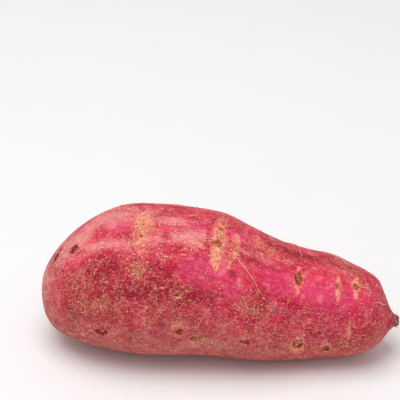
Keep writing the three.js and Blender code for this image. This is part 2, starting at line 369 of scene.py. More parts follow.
def swell(x, turn):
    """Lobes and waves of the skin, as a share of the radius."""
    share = np.clip((x - BLUNT_END) / LENGTH, 0, 1)
    ridge = RIDGE_TURNS[0] + (RIDGE_TURNS[1] - RIDGE_TURNS[0]) * share
    angle = np.radians(turn)
    four = FOUR_LOBES * np.cos(4 * (angle - np.radians(ridge)))
    three = THREE_LOBES * np.cos(3 * angle + 1 + 1.5 * share) * np.sin(np.pi * share)
    waves = WAVES * np.sin(6.5 * np.pi * share + 0.6) * np.cos(2 * angle + 0.8)
    return 1 + four + three + waves


def turn_between(turn, middle):
    """How far turn is past middle, the short way round, in degrees."""
    return (turn - middle + 180) % 360 - 180


def furrow_depth(x, turn, radius):
    """Depth of the furrows: each fades out at both ends and to both sides."""
    depth = 0
    for start, end, turn_start, turn_end, deep, breadth in FURROWS:
        share = np.clip((x - start) / (end - start), 0, 1)
        middle = turn_start + (turn_end - turn_start) * share
        away = np.radians(turn_between(turn, middle)) * radius / breadth
        depth = depth + deep * np.sin(np.pi * share) ** 2 * np.exp(-away * away)
    return depth


def smooth_skin(t, turn):
    """Points of the skin before its relief: an oval section, swollen by the lobes, at each t and turn."""
    x, side, height, half_width = np.moveaxis(section(t), -1, 0)
    radius = half_width * swell(x, turn) - furrow_depth(x, turn, half_width)
    angle = np.radians(turn)
    across = side - radius * np.cos(angle)
    up = height + radius * FLATNESS * np.sin(angle)
    return np.stack([x + 0 * angle, across, up], -1)


def unit(vectors):
    """Vectors made one millimetre long."""
    return vectors / np.linalg.norm(vectors, axis=-1, keepdims=True)


def skin_axes(t, turn):
    """Directions along the skin, round it and out of it, from a small step each way."""
    low = np.clip(t - 0.02, END_GAP, SPANS - END_GAP)
    high = np.clip(t + 0.02, END_GAP, SPANS - END_GAP)
    middle = (low + high) / 2
    along = unit(smooth_skin(high, turn) - smooth_skin(low, turn))
    around = smooth_skin(middle, turn + 0.5) - smooth_skin(middle, turn - 0.5)
    out = unit(np.cross(along, around))
    return along, np.cross(out, along), out


# A ruler along the skin: t, x and the length of skin from the blunt end, at fine steps
RULER_T = np.linspace(0, SPANS, 4001)
RULER_SECTION = section(RULER_T)
RULER_X = np.maximum.accumulate(RULER_SECTION[:, 0])
RULER_STEPS = np.hypot(np.diff(RULER_SECTION[:, 0]), np.diff(RULER_SECTION[:, 3]))
RULER_LENGTH = np.concatenate([[0], np.cumsum(RULER_STEPS)])


def t_at_x(x):
    """The t of the section at x."""
    return np.interp(x, RULER_X, RULER_T)


def length_at_t(t):
    """Length of skin from the blunt end to t."""
    return np.interp(t, RULER_T, RULER_LENGTH)


def offsets(t, turn, x, middle_turn):
    """How far each place is from one on the skin, in millimetres along the root and round it."""
    along = length_at_t(t) - length_at_t(t_at_x(x))
    radius = section(t)[..., 3]
    return along + 0 * turn, np.radians(turn_between(turn, middle_turn)) * radius


def spindle(along, around, half_along, half_around):
    """1 in the middle of a spindle and 0 on its edge: its sides bow out between two points."""
    reach = np.clip(1 - (around / half_around) ** 2, 0, 1)
    return np.clip(1 - np.abs(along) / (half_along * reach + 0.05), 0, 1) * np.minimum(reach * 3, 1)


def growth_place(t, turn):
    """Places on an even cylinder, length of skin by girth, on which lengthwise patterns run to both ends."""
    angle = np.radians(turn)
    length = length_at_t(t) + 0 * angle
    return np.stack([length, GIRTH_RADIUS * np.cos(angle), GIRTH_RADIUS * np.sin(angle)], -1)


def scar_relief(t, turn, points, wobble):
    """Height of the corky scars, cracked across the root, and how much cork covers each place."""
    height = np.zeros(points.shape[:-1])
    cover = np.zeros(points.shape[:-1])
    ragged = cloud(points, 3.4, 31, 2)
    patchy = np.clip(0.95 + 0.5 * cloud(points, 5.5, 32, 2), 0, 1)
    for x, middle, half_along, half_around, proud, cork in SCARS:
        along, around = offsets(t, turn, x, middle)
        shaken = along * (1 + 0.25 * wobble) + 0.3 * half_along * ragged
        inside = spindle(shaken, around, half_along, half_around)
        fissures = cloud(np.stack([along, around / 5, 0 * along], -1), 0.9, 6, 2)
        height += proud * soft_step(inside, 0, 0.6) * (0.8 + 0.6 * fissures)
        haze = spindle(along + 0.4 * half_along * ragged, around, 1.6 * half_along, 1.1 * half_around)
        cover = np.maximum(cover, cork * patchy * haze)
    return height, cover


def eye_relief(t, turn, points, wobble):
    """Depth of the eyes and marks, each a pit with a low rim, and how dark each place is."""
    height = np.zeros(points.shape[:-1])
    dark = np.zeros(points.shape[:-1])
    marks = [(x, middle, length, breadth, MARK_DEPTH, shade) for x, middle, length, breadth, shade in MARKS]
    for x, middle, length, breadth, depth, shade in EYES + marks:
        along, around = offsets(t, turn, x, middle)
        away = np.hypot(along / (length / 2), around / (breadth / 2)) * (1 + 0.25 * wobble)
        sunk = 1 - soft_step(away, 0.45, 1.15)
        rim = np.exp(-(((away - 1.35) / 0.3) ** 2))
        height += 0.2 * np.sqrt(depth) * rim - depth * sunk
        dark = np.maximum(dark, (1 - soft_step(away, 0.6, 1.6)) * shade)
    return height, dark


def relief(t, turn, points):
    """How far the fine surface stands out of the smooth skin, in millimetres, with its masks."""
    x = points[..., 0]
    growth = growth_place(t, turn)
    wobble = cloud(points, 1.7, 5)
    height = sum(rise * cloud(points, breadth, seed, 2) for rise, breadth, seed in SWELLS)

    to_tail = soft_step(x, *TAIL_WRINKLES)
    to_blunt = soft_step(-x, *BLUNT_WRINKLES)
    lengthwise = cloud(growth / np.array([9, 1, 1]), 2.6, 4, 2)
    crosswise = cloud(growth / np.array([1, 9, 9]), 1.9, 7, 2)
    height = height + lengthwise * (0.05 + 0.22 * to_tail + 0.1 * to_blunt)
    height = height + crosswise * (0.03 + 0.08 * to_tail)

    scar_height, scar = scar_relief(t, turn, points, wobble)
    eye_height, dark = eye_relief(t, turn, points, wobble)
    height = height + scar_height + eye_height

    from_pole = section(t)[..., 3] * np.ones(x.shape)
    at_stem = np.where(x < 0, 1 - soft_step(from_pole * (1 + 0.2 * wobble), *STEM_SCAR), 0)
    height = height - STEM_SCAR_DEPTH * at_stem * (0.8 + 0.5 * wobble)
    at_tail = np.where(x > 0, 1 - soft_step(from_pole, *BROKEN_TAIL), 0)
    splits = cloud(growth / np.array([5, 11, 11]), 0.8, 8, 2)
    height = height + at_tail * TAIL_SPLIT_DEPTH * splits
    broken = np.maximum(at_stem, at_tail)
    crevice = np.maximum(at_tail * soft_step(-splits, 0.1, 0.6), at_stem * soft_step(-wobble, 0.0, 0.5))
    return height, {"scar": scar, "dark": np.maximum(dark, crevice), "broken": broken}


def surface(t, turn):
    """Points of the finished skin at each t and turn, in millimetres, with the masks that colour it."""
    points = smooth_skin(t, turn)
    out = skin_axes(t, turn)[2]
    height, masks = relief(t, turn, points)
    points = points + out * height[..., None]
    points[..., 2] = np.maximum(points[..., 2], 0)
    return points, masks


def tint(t, turn, places, points, seed):
    """Strength of a family of tints: soft ovals with cloudy edges."""
    total = np.zeros(points.shape[:-1])
    edge = 0.5 * cloud(points, 7, seed, 3)
    for x, middle, half_along, half_around, strength in places:
        along, around = offsets(t, turn, x, middle)
        away = np.hypot(along / half_along, around / half_around) + edge
        total = np.maximum(total, strength * (1 - soft_step(away, 0.1, 1.4)))
    return total


def hidden_tints():
    """Tints for the far side, dealt to the five families by a seeded draw."""
    rng = np.random.default_rng(HIDDEN_SEED)
    families = [[], [], [], [], []]
    for i in range(HIDDEN_TINTS * len(families)):
        x = rng.uniform(*HIDDEN_X)
        middle = rng.uniform(*HIDDEN_TURNS)
        size = rng.uniform(*HIDDEN_SIZES)
        oval = (x, middle, size * rng.uniform(1, 1.8), size * 0.6, rng.uniform(0.5, 1))
        families[i % len(families)].append(oval)
    return families


def closed_faces(rows, around, first):
    """Faces, pointing out, of grids of rows that a point closes at each end, one from each first point."""
    first = np.atleast_1d(first)[:, None, None]
    row, column = np.meshgrid(np.arange(rows - 1), np.arange(around), indexing="ij")
    beside = (column + 1) % around
    here = row * around
    below = here + around
    quads = 1 + np.stack([here + column, below + column, below + beside, here + beside], -1).reshape(-1, 4)
    column = np.arange(around)
    beside = (column + 1) % around
    last = 1 + (rows - 1) * around
    end = np.full(around, last + around)
    start_cap = np.stack([0 * column, 1 + column, 1 + beside], -1)
    end_cap = np.stack([end, last + beside, last + column], -1)
    caps = np.concatenate([start_cap, end_cap])
    return (quads + first).reshape(-1, 4).tolist() + (caps + first).reshape(-1, 3).tolist()


def skin_rows():
    """t of each row of the skin's mesh: even steps of skin, closer together near the tail."""
    length = RULER_LENGTH
    crowding = 1 + TAIL_CROWDING * soft_step(length, length[-1] - 22, length[-1] - 8)
    count = np.concatenate([[0], np.cumsum((crowding[1:] + crowding[:-1]) / 2 * np.diff(length))])
    steps = np.linspace(0, count[-1], MESH_ROWS + 2)[1:-1]
    return np.interp(steps, count, RULER_T)


def skin_body():
    """The skin: rows of points from end to end, closed by a point at each, with its tints and masks."""
    t, turn = np.meshgrid(skin_rows(), np.arange(MESH_AROUND) * 360 / MESH_AROUND, indexing="ij")
    t = np.concatenate([[END_GAP], t.ravel(), [SPANS - END_GAP]])
    turn = np.concatenate([[0.0], turn.ravel(), [0.0]])
    points, values = surface(t, turn)
    values["growth"] = growth_place(t, turn)
    # The pale, deep and smooth tints hold painted highlight and painted shade in a few places, noted at the
    # tints
    families = zip(("pale", "magenta", "deep", "russet", "smooth"),
                   (PALE_AND_HIGHLIGHT_TINTS, MAGENTA_TINTS, DEEP_AND_SHADE_TINTS, RUSSET_TINTS, SMOOTH_AND_SHADE_TINTS), hidden_tints())
    for seed, (name, seen, hidden) in enumerate(families):
        values[name] = tint(t, turn, seen + hidden, points, 21 + seed)
    below = np.abs(turn_between(turn, RESTING_TURN)) + 14 * cloud(points, 9, 29)
    x = points[:, 0]
    under = 1 - soft_step(below, DUST_BREADTH, DUST_BREADTH + DUST_FADE)
    # Thinner towards the tail: painted light, which brightens the tail's underside
    under = under * (1 - 0.35 * soft_step(x, *DUST_THINNING_FOR_LIGHT))
    values["dust"] = np.maximum(under, 0.7 * soft_step(-x, *DUST_AT_BLUNT_END))
    return points, closed_faces(MESH_ROWS, MESH_AROUND, 0), values


def lumps(x, turn, sizes, rows, around, ragged, seed, lift=0.0, curl=0.0, spin=None):
    """Closed lumps on the skin: flattened balls, pushed in and out by noise, spun and curled up at the ends.

    sizes holds the half length, half breadth and half thickness of each. lift is how far the middle stands
    out of the skin, in half thicknesses.
    """
    spin = np.zeros(len(x)) if spin is None else spin
    clear = surface(t_at_x(x), turn)[0][:, 2] > FLOOR_GAP
    x, turn, sizes, spin = x[clear], turn[clear], sizes[clear], spin[clear]
    polar = np.arange(1, rows + 1)[:, None] * np.pi / (rows + 1)
    angle = np.arange(around) * 2 * np.pi / around
    waist = np.sin(polar)
    ball = np.stack([waist * np.cos(angle), waist * np.sin(angle), np.cos(polar) + 0 * angle], -1)
    ball = np.vstack([[0, 0, 1], ball.reshape(-1, 3), [0, 0, -1]])
    count = len(x)
    apart = np.arange(count)[:, None, None] * 7.3
    push = 1 + ragged * cloud(ball + apart, 0.9, seed, 2)
    along, across, up = np.moveaxis(ball * push[..., None] * sizes[:, None, :], -1, 0)
    up = up + curl * sizes[:, None, 0] * ball[..., 0] ** 2
    cosine = np.cos(spin)[:, None]
    sine = np.sin(spin)[:, None]
    turned = np.stack([along * cosine - across * sine, along * sine + across * cosine, up], -1)
    t = t_at_x(x)
    axes = np.stack(skin_axes(t, turn), 1)
    middle = surface(t, turn)[0] + axes[:, 2] * (sizes[:, 2] * lift)[:, None]
    points = middle[:, None] + np.einsum("npk,nkj->npj", turned, axes)
    faces = closed_faces(rows, around, np.arange(count) * len(ball))
    tone = np.repeat(np.random.default_rng(seed).uniform(0, 1, count), len(ball))
    return points.reshape(-1, 3), faces, {"tone": tone}


def eye_scabs():
    """Scabs: a rough dished plug of cork in each eye, a little smaller than its pit."""
    eyes = np.array(EYES)
    sizes = np.stack([eyes[:, 2] * 0.3, eyes[:, 3] * 0.3, eyes[:, 4] * 0.4], -1)
    return lumps(eyes[:, 0], eyes[:, 1], sizes, rows=12, around=22, ragged=1.1, seed=51, lift=0.1)


def scattered(rng, places, count, spread):
    """x and turn of count places near each given one, drawn with that spread in millimetres."""
    x = np.repeat(places[:, 0], count)
    turn = np.repeat(places[:, 1], count)
    radius = section(t_at_x(x))[:, 3]
    return x + rng.normal(0, spread, len(x)), turn + np.degrees(rng.normal(0, spread, len(x)) / radius)


def strewn(rng, groups, low_x, high_x, all_over):
    """x and turn of places drawn near those of each group, and of some all over the skin."""
    drawn = [scattered(rng, np.array(places), count, spread) for places, count, spread in groups]
    drawn.append((rng.uniform(low_x, high_x, all_over), rng.uniform(0, 360, all_over)))
    return (np.concatenate(parts) for parts in zip(*drawn))


def cork_crumbs():
    """Crumbs: small lumps of dry cork round the eyes, along the scars and thinly over all the skin."""
    rng = np.random.default_rng(61)
    x, turn = strewn(rng, CRUMB_GROUPS, -86, 84, CRUMBS_ALL_OVER)
    x = np.clip(x, -88.5, 84)
    half = rng.uniform(0.16, 0.36, len(x))
    sizes = np.stack([half * rng.uniform(0.9, 1.7, len(x)), half, half * 0.6], -1)
    spin = rng.uniform(0, np.pi, len(x))
    return lumps(x, turn, sizes, rows=4, around=7, ragged=0.6, seed=62, lift=0.2, spin=spin)


def skin_flakes():
    """Flakes: papery scraps of the outer skin, thin and curled up at their ends."""
    rng = np.random.default_rng(71)
    x, turn = strewn(rng, FLAKE_GROUPS, -84, 80, FLAKES_ALL_OVER)
    half = rng.uniform(0.35, 0.9, len(x))
    sizes = np.stack([half, half * rng.uniform(0.35, 0.6, len(x)), FLAKE_HALF_THICKNESS + 0 * half], -1)
    spin = rng.uniform(-0.7, 0.7, len(x))
    return lumps(x, turn, sizes, rows=5, around=10, ragged=0.5, seed=72, lift=0.3, curl=0.28, spin=spin)


def thread(path, out, radius, sides):
    """Points of a closed thread: a ring round each point of its path, tapering to a point at both ends."""
    tangent = unit(np.gradient(path, axis=0))
    side = unit(np.cross(out, tangent))
    up = np.cross(tangent, side)
    share = np.linspace(0, 1, len(path))
    taper = radius * np.minimum(1, 8 * (1 - share) + 0.25) * (1 - 0.45 * share)
    angle = np.arange(sides) * 2 * np.pi / sides
    ring = up[:, None] * np.cos(angle)[:, None] + side[:, None] * np.sin(angle)[:, None]
    points = path[:, None] + ring * taper[:, None, None]
    base = path[:1] - tangent[:1] * radius * 0.5
    tip = path[-1:] + tangent[-1:] * radius
    return np.vstack([base, points.reshape(-1, 3), tip])


def join_threads(threads, sides):
    """One body of several closed threads, with a tone for each."""
    faces = []
    tones = []
    first = 0
    for i, points in enumerate(threads):
        faces += closed_faces((len(points) - 2) // sides, sides, first)
        tones.append(np.full(len(points), (i * 0.37) % 1))
        first += len(points)
    return np.vstack(threads), faces, {"tone": np.concatenate(tones)}


def rootlets():
    """Rootlets: fine dry side roots that come out of the eyes and lie over the skin."""
    threads = []
    for i, (radius, passes) in enumerate(ROOTLETS):
        passes = np.array(passes, float)
        rows = np.vstack([2 * passes[0] - passes[1], passes, 2 * passes[-1] - passes[-2]])
        spans = len(passes) - 1
        rough_length = np.abs(np.diff(passes[:, 0])).sum() + 0.5 * np.abs(np.diff(passes[:, 1])).sum()
        steps = int(rough_length / ROOTLET_STEP) + 6
        x, turn, lift = curve_through(rows, np.linspace(0, spans, steps)).T
        at = np.stack([x, 0.5 * turn, 0 * x], -1)
        x = x + 0.35 * lattice_noise(at, 2.2, 81 + i)
        turn = turn + 0.6 * lattice_noise(at, 2.2, 101 + i)
        t = t_at_x(x)
        out = skin_axes(t, turn)[2]
        path = surface(t, turn)[0] + out * (np.maximum(lift, 0) + radius * 0.5)[:, None]
        threads.append(thread(path, out, radius, ROOTLET_SIDES))
    return join_threads(threads, ROOTLET_SIDES)


def end_fibres(pole, way, count, ring, lengths, radii, seed):
    """Torn fibres that stand out of one end of the root, way along x, splayed and drooping a little."""
    rng = np.random.default_rng(seed)
    heading = np.array([way, 0.0, 0.0])
    threads = []
    for i in range(count):
        angle = 2 * np.pi * (i + rng.uniform(-0.4, 0.4)) / count
        spoke = np.array([0, np.cos(angle), np.sin(angle)])
        start = np.array(pole) + spoke * ring * np.sqrt(rng.uniform(0.05, 1))
        length = rng.uniform(*lengths)
        s = np.linspace(0, 1, FIBRE_POINTS)[:, None]
        splay = rng.uniform(0.1, 0.5)
        wander = rng.normal(0, 0.12, 3) * length
        path = start + heading * s * length + spoke * splay * s**2 * length + wander * s**2
        path[:, 2] -= 0.12 * length * s[:, 0] ** 2
        up = np.tile(np.array(FIBRE_UP), (FIBRE_POINTS, 1))
        threads.append(thread(path, up, rng.uniform(*radii), FIBRE_SIDES))
    return join_threads(threads, FIBRE_SIDES)


def tail_fibres():
    """Torn fibres round the broken tail."""
    return end_fibres(TAIL_POLE, 1.0, count=34, ring=3.1, lengths=(1.2, 2.7), radii=(0.12, 0.26), seed=91)


def stem_fibres():
    """Torn fibres in the scar at the blunt end, where the root was cut from its stem."""
    return end_fibres(STEM_POLE, -1.0, count=26, ring=3.2, lengths=(0.9, 1.9), radii=(0.12, 0.24), seed=92)


def make_piece(name, body, material, shift):
    """A mesh piece from points in millimetres, faces and per-point values, riding on the root's body."""
    points, faces, values = body
    mesh = bpy.data.meshes.new(name)
    mesh.from_pydata(((points + shift) * MM).tolist(), [], faces)
    for key, value in values.items():
        kind, field = ("FLOAT_VECTOR", "vector") if value.ndim == 2 else ("FLOAT", "value")
        attribute = mesh.attributes.new(key, kind, "POINT")
        attribute.data.foreach_set(field, value.astype(np.float32).ravel())
    mesh.polygons.foreach_set("use_smooth", [True] * len(mesh.polygons))
    mesh.materials.append(material)
    mesh.update()
    piece = bpy.data.objects.new(name, mesh)
    bpy.context.scene.collection.objects.link(piece)
    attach(piece, BODY)
    return piece


def linear(value):
    """A screen value from 0 to 255 as the shader's linear value."""
    share = value / 255
    return share / 12.92 if share <= 0.04045 else ((share + 0.055) / 1.055) ** 2.4


def srgb(red, green, blue):
    """A colour given as screen values."""
    return (linear(red), linear(green), linear(blue), 1.0)


class Shader:
    """Short calls that add nodes to one shader tree. Sizes are in millimetres."""

    def __init__(self, tree):
        self.tree = tree

    def node(self, kind, inputs=None, **settings):
        """One node, with its settings, its inputs set to values or joined to other nodes' outputs."""
        made = self.tree.nodes.new("ShaderNode" + kind)
        for name, value in settings.items():
            setattr(made, name, value)
        for name, value in (inputs or {}).items():
            self.join(value, made.inputs[name])
        return made

    def join(self, value, socket):
        """An input socket joined to an output, or set to a number or colour."""
        if isinstance(value, bpy.types.NodeSocket):
            self.tree.links.new(value, socket)
        else:
            socket.default_value = value

    def place(self):
        """Place on the object, in millimetres."""
        at = self.node("TexCoord").outputs["Object"]
        return self.vector_maths("SCALE", at, 1 / MM)

    def value(self, name):
        """A per-point value of the mesh."""
        return self.node("Attribute", attribute_name=name).outputs["Fac"]

    def vector(self, name):
        """A per-point vector of the mesh."""
        return self.node("Attribute", attribute_name=name).outputs["Vector"]

    def maths(self, operation, a, b=0.0, clamp=False):
        """A sum, product or other operation on two numbers."""
        return self.node("Math", {0: a, 1: b}, operation=operation, use_clamp=clamp).outputs[0]

    def vector_maths(self, operation, a, b):
        """A sum, product or other operation on two vectors, or a vector scaled by a number."""
        other = "Scale" if operation == "SCALE" else 1
        return self.node("VectorMath", {0: a, other: b}, operation=operation).outputs[0]

    def total(self, *terms):
        """The sum of terms, each a socket or a pair of a socket and a factor."""
        result = None
        for term in terms:
            scaled = self.maths("MULTIPLY", *term) if isinstance(term, tuple) else term
            result = scaled if result is None else self.maths("ADD", result, scaled)
        return result

    def product(self, *factors):
        """The product of numbers and sockets."""
        result = factors[0]
        for factor in factors[1:]:
            result = self.maths("MULTIPLY", result, factor)
        return result

    def step(self, value, low, high, to_low=0.0, to_high=1.0):
        """A smooth rise from one number to another as value goes from low to high."""
        inputs = {"Value": value, "From Min": low, "From Max": high, "To Min": to_low, "To Max": to_high}
        return self.node("MapRange", inputs, interpolation_type="SMOOTHSTEP").outputs[0]

    def noise(self, at, size, detail=3.0, roughness=0.55):
        """Soft noise from about 0.2 to 0.8, whose blobs have that size."""
        inputs = {"Vector": at, "Scale": 1 / size, "Detail": detail, "Roughness": roughness}
        return self.node("TexNoise", inputs).outputs["Fac"]

    def moved(self, at, step):
        """Places moved by a step, so that a pattern starts elsewhere."""
        return self.vector_maths("ADD", at, step)

    def squeezed(self, at, factors):
        """Places squeezed by a factor along each axis, which draws a pattern out that way."""
        return self.vector_maths("MULTIPLY", at, factors)

    def blend(self, share, under, over):
        """The colour under, covered by the colour over as far as share says."""
        made = self.node("Mix", data_type="RGBA")
        self.join(share, made.inputs[0])
        self.join(under, made.inputs[6])
        self.join(over, made.inputs[7])
        return made.outputs[2]

    def painted(self, colour, *coats):
        """A colour with coats over it. A coat is one or more masks, which are multiplied, and a colour."""
        for *masks, over in coats:
            colour = self.blend(self.product(*masks), colour, over)
        return colour

    def bumps(self, height, strength, distance):
        """A normal that follows a height, whose full rise is that distance in millimetres."""
        inputs = {"Height": height, "Strength": strength, "Distance": distance * MM}
        return self.node("Bump", inputs).outputs[0]

    def group(self, tree, inputs):
        """A node group placed with its own values."""
        return self.node("Group", inputs, node_tree=tree)


def new_group(name, inputs, outputs):
    """An empty node group with named inputs and outputs: its tree, its Shader, and its sockets inside."""
    tree = bpy.data.node_groups.new(name, "ShaderNodeTree")
    for label, (kind, default) in inputs.items():
        socket = tree.interface.new_socket(label, in_out="INPUT", socket_type="NodeSocket" + kind)
        if default is not None:
            socket.default_value = default
    for label in outputs:
        tree.interface.new_socket(label, in_out="OUTPUT", socket_type="NodeSocketFloat")
    entry = tree.nodes.new("NodeGroupInput").outputs
    leave = tree.nodes.new("NodeGroupOutput").inputs
    return tree, Shader(tree), entry, leave


def make_flecks_group():
    """Flecks: ragged spots, uneven in size and strength, in a share of the cells of a jittered pattern."""
    tree, shader, entry, leave = new_group("flecks", {
        "Place": ("Vector", None),
        "Size": ("Float", 1.0),
        "Share": ("Float", 0.4),
        "Reach": ("Float", 0.4),
    }, ["Mask"])
    scale = shader.maths("DIVIDE", 1.0, entry["Size"])
    swirl_scale = shader.maths("MULTIPLY", scale, 1.7)
    swirl = shader.node("TexNoise", {"Vector": entry["Place"], "Scale": swirl_scale, "Detail": 1.0})
    push = shader.vector_maths("SUBTRACT", swirl.outputs["Color"], (0.5, 0.5, 0.5))
    push = shader.vector_maths("SCALE", push, entry["Size"])
    at = shader.moved(entry["Place"], shader.vector_maths("SCALE", push, 1.8))
    cells = shader.node("TexVoronoi", {"Vector": at, "Scale": scale, "Randomness": 1.0})
    draw = shader.node("SeparateColor", {"Color": cells.outputs["Color"]}).outputs
    reach = shader.product(entry["Reach"], shader.step(draw["Blue"], 0.0, 1.0, 0.5, 1.4))
    near = shader.step(cells.outputs["Distance"], shader.product(reach, 0.45), reach, 1.0, 0.0)
    chosen = shader.maths("LESS_THAN", draw["Red"], entry["Share"])
    strength = shader.step(draw["Green"], 0.0, 1.0, 0.4, 1.0)
    shader.join(shader.product(near, chosen, strength), leave["Mask"])
    return tree


def make_dry_grain_group():
    """Dry grain: the crumbly grain of cork, with deep pits between its grains."""
    tree, shader, entry, leave = new_group("dry_grain", {
        "Place": ("Vector", None),
        "Size": ("Float", 0.8),
    }, ["Grain", "Pits"])
    scale = shader.maths("DIVIDE", 1.0, entry["Size"])
    inputs = {"Vector": entry["Place"], "Scale": scale, "Detail": 3.0, "Roughness": 0.7}
    grain = shader.node("TexNoise", inputs).outputs["Fac"]
    cells = shader.node("TexVoronoi", {"Vector": entry["Place"], "Scale": scale}, feature="DISTANCE_TO_EDGE")
    edge = shader.total(cells.outputs["Distance"], (grain, 0.5))
    shader.join(grain, leave["Grain"])
    shader.join(shader.step(edge, 0.28, 0.4, 1.0, 0.0), leave["Pits"])
    return tree


def new_material(name):
    """A material with nodes: itself, its Shader and its surface shader's inputs."""
    material = bpy.data.materials.new(name)
    material.use_nodes = True
    return material, Shader(material.node_tree), material.node_tree.nodes["Principled BSDF"].inputs


ROSE = srgb(204, 20, 64)
PINK = srgb(232, 62, 92)
SALMON = srgb(255, 168, 168)
MAGENTA = srgb(230, 64, 116)
CRIMSON = srgb(146, 20, 40)
MAROON = srgb(116, 14, 32)
RUSSET = srgb(160, 72, 56)
ASH = srgb(226, 172, 160)
OLIVE = srgb(186, 118, 78)
CREAM = srgb(255, 206, 182)
DUST = srgb(170, 114, 102)
PEACH = srgb(255, 138, 112)
TAN = srgb(255, 188, 130)
SAND = srgb(255, 172, 152)
RUST = srgb(124, 34, 40)
BROWN = srgb(140, 38, 26)
DARK = srgb(54, 16, 11)

# Layers of flecks on the skin, each over the one before: pattern, the step that moves it, size of its cells,
# share of them that hold a fleck, how far a fleck reaches in its cell, its colour and strength, how far it
# stands out, and the patches that it crowds in
FLECK_LAYERS = [
    ("round", (0.0, 0.0, 0.0), 0.8, 0.55, 0.52, MAROON, 0.7, -0.35, "dark"),
    ("round", (31.0, 7.0, 19.0), 0.72, 0.75, 0.52, SAND, 0.82, 0.3, "light"),
    ("round", (5.0, 43.0, 11.0), 1.15, 0.55, 0.3, CREAM, 0.95, 0.25, "light"),
    ("round", (17.0, 3.0, 37.0), 1.7, 0.3, 0.25, RUST, 0.8, -0.2, "dark"),
    ("dashed", (0.0, 0.0, 0.0), 0.85, 0.45, 0.38, TAN, 0.85, 0.0, "light"),
    ("round", (23.0, 29.0, 3.0), 0.78, 0.85, 0.48, CREAM, 0.9, 0.25, "pale"),
]

# How much a pattern's places are squeezed along the root and round it, which draws the pattern out
STREAK_SQUEEZE = (0.12, 1.0, 1.0)
DASH_SQUEEZE = (0.28, 1.0, 1.0)
CRACK_SQUEEZE = (1.0, 0.25, 0.25)

SKIN_GRAIN = 0.9
SKIN_SHINE = 0.12

# Dry finishes: the size of the grain, the light, middle and dark colour, and how dark the pits are
# Scabs are brown cork with tan grains, flakes are papery, rootlets are straw and fibres are grey brown
DRY_FINISHES = {
    "scab": (0.9, srgb(250, 152, 112), srgb(158, 50, 38), srgb(70, 16, 12), 0.85),
    "crumb": (0.6, srgb(255, 210, 172), srgb(234, 140, 110), srgb(160, 62, 48), 0.4),
    "flake": (0.8, srgb(250, 178, 156), srgb(222, 104, 98), srgb(150, 62, 60), 0.4),
    "rootlet": (1.4, srgb(255, 232, 204), srgb(255, 196, 164), srgb(214, 130, 100), 0.3),
    "fibre": (0.7, srgb(236, 196, 182), srgb(150, 92, 82), srgb(64, 30, 26), 0.7),
}
DRY_SHINE = 0.2


def skin_ground(shader, at, growth, edge):
    """The skin's broad colours: rose in soft clouds, with salmon, magenta, crimson and dusty zones."""
    deep, magenta, pale = (shader.total(shader.value(name), edge) for name in ("deep", "magenta", "pale"))
    clean = shader.step(shader.value("deep"), 0.0, 0.9, 1.0, 0.3)
    calm = shader.step(shader.value("smooth"), 0.0, 1.0, 1.0, 0.3)
    clouds = shader.noise(at, 13.0, 4.0, 0.6)
    blotches = shader.noise(at, 4.5, 3.0, 0.6)
    streaks = shader.noise(shader.squeezed(growth, STREAK_SQUEEZE), 1.5, 3.0, 0.65)
    colour = shader.painted(
        ROSE,
        (shader.step(clouds, 0.4, 0.64), PINK),
        # Crimson over the deep tints: darker skin, and painted shade where a deep tint stands for shade
        (shader.step(deep, 0.0, 0.9, 0.0, 0.95), CRIMSON),
        (shader.step(magenta, 0.0, 1.0, 0.0, 0.8), MAGENTA),
        # Salmon over the pale tints: paler skin, and over the top of the blunt half a painted highlight
        (shader.step(pale, 0.0, 1.0, 0.0, 0.64), SALMON),
        (shader.value("dust"), shader.step(streaks, 0.36, 0.56, 0.45, 0.95), DUST),
        (shader.step(blotches, 0.52, 0.7, 0.0, 0.4), CRIMSON),
        (shader.step(blotches, 0.48, 0.32, 0.0, 0.35), clean, SALMON),
        (shader.step(streaks, 0.52, 0.72, 0.0, 0.4), calm, CRIMSON),
        (shader.step(streaks, 0.48, 0.28, 0.0, 0.35), calm, clean, SALMON),
    )
    return colour, streaks


def skin_sand(shader, colour, at, growth, rough, plain, flecks):
    """Sand and flecks that roughen the skin, and how far the flecks stand out together.

    Light flecks crowd in one set of patches, dark ones in another, and pale ones in pale zones and scars.
    """
    patterns = {"round": at, "dashed": shader.squeezed(growth, DASH_SQUEEZE)}
    light = shader.step(shader.noise(shader.moved(at, (3.0, 8.0, 1.0)), 7.0, 3.0, 0.6), 0.42, 0.6, 0.12, 1.3)
    dark = shader.step(shader.noise(shader.moved(at, (6.0, 1.0, 9.0)), 6.0, 3.0, 0.6), 0.38, 0.62, 0.4, 1.2)
    pale = shader.step(shader.total(shader.value("pale"), (shader.value("scar"), 0.4)), 0.0, 0.9, 0.1, 1.2)
    patches = {"light": light, "dark": shader.product(dark, plain), "pale": pale}
    sand = shader.noise(shader.moved(at, (9.0, 2.0, 5.0)), 0.8, 2.0, 0.85)
    grainy = shader.step(rough, 0.0, 1.0, 0.08, 1.0)
    colour = shader.painted(
        colour,
        (shader.step(sand, 0.5, 0.61), grainy, dark, shader.total((plain, 0.6), 0.4), CRIMSON),
        (shader.step(sand, 0.49, 0.37), grainy, 0.7, PINK),
    )
    crowding = shader.step(rough, 0.0, 1.1, 0.06, 1.0)
    fading = shader.step(rough, 0.0, 0.9, 0.2, 1.0)
    rises = []
    for pattern, step, size, share, reach, over, strength, rise, where in FLECK_LAYERS:
        place = shader.moved(patterns[pattern], step)
        chosen = shader.product(crowding, patches[where], share)
        made = shader.group(flecks, {"Place": place, "Size": size, "Share": chosen, "Reach": reach})
        mask = shader.product(made.outputs[0], fading)
        colour = shader.painted(colour, (mask, strength, over))
        rises.append((mask, rise))
    return colour, shader.total(*rises)


